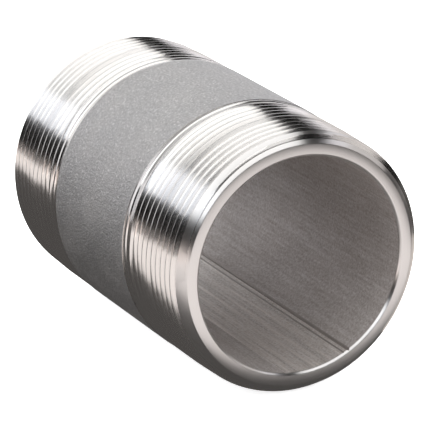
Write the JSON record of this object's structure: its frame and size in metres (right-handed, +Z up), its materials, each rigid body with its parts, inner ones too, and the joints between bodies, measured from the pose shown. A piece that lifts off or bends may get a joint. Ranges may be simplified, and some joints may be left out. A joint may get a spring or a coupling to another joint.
{
  "type": "threaded pipe nipple",
  "caption": "Short welded stainless pipe nipple with an open bore, a plain matte barrel and a taper pipe thread at each end.",
  "frame": {"origin": "middle of the bounding box: on the pipe axis, half-way between the two end faces", "axes": "+X along the pipe axis towards the end that faces the viewer, +Z up with the nipple lying on its side, the welded seam on the lower side near -Z"},
  "size_m": [0.0888, 0.0604, 0.0604],
  "materials": {
    "pipe_wall": "pickled matte barrel and bore, bright turned threads, chamfers and end faces",
    "seam_weld": "planished weld metal, streaked along the pipe"
  },
  "bodies": {
    "root": {"pipe_wall": "pipe_wall", "seam_weld": "seam_weld"}
  },
  "joints": []
}
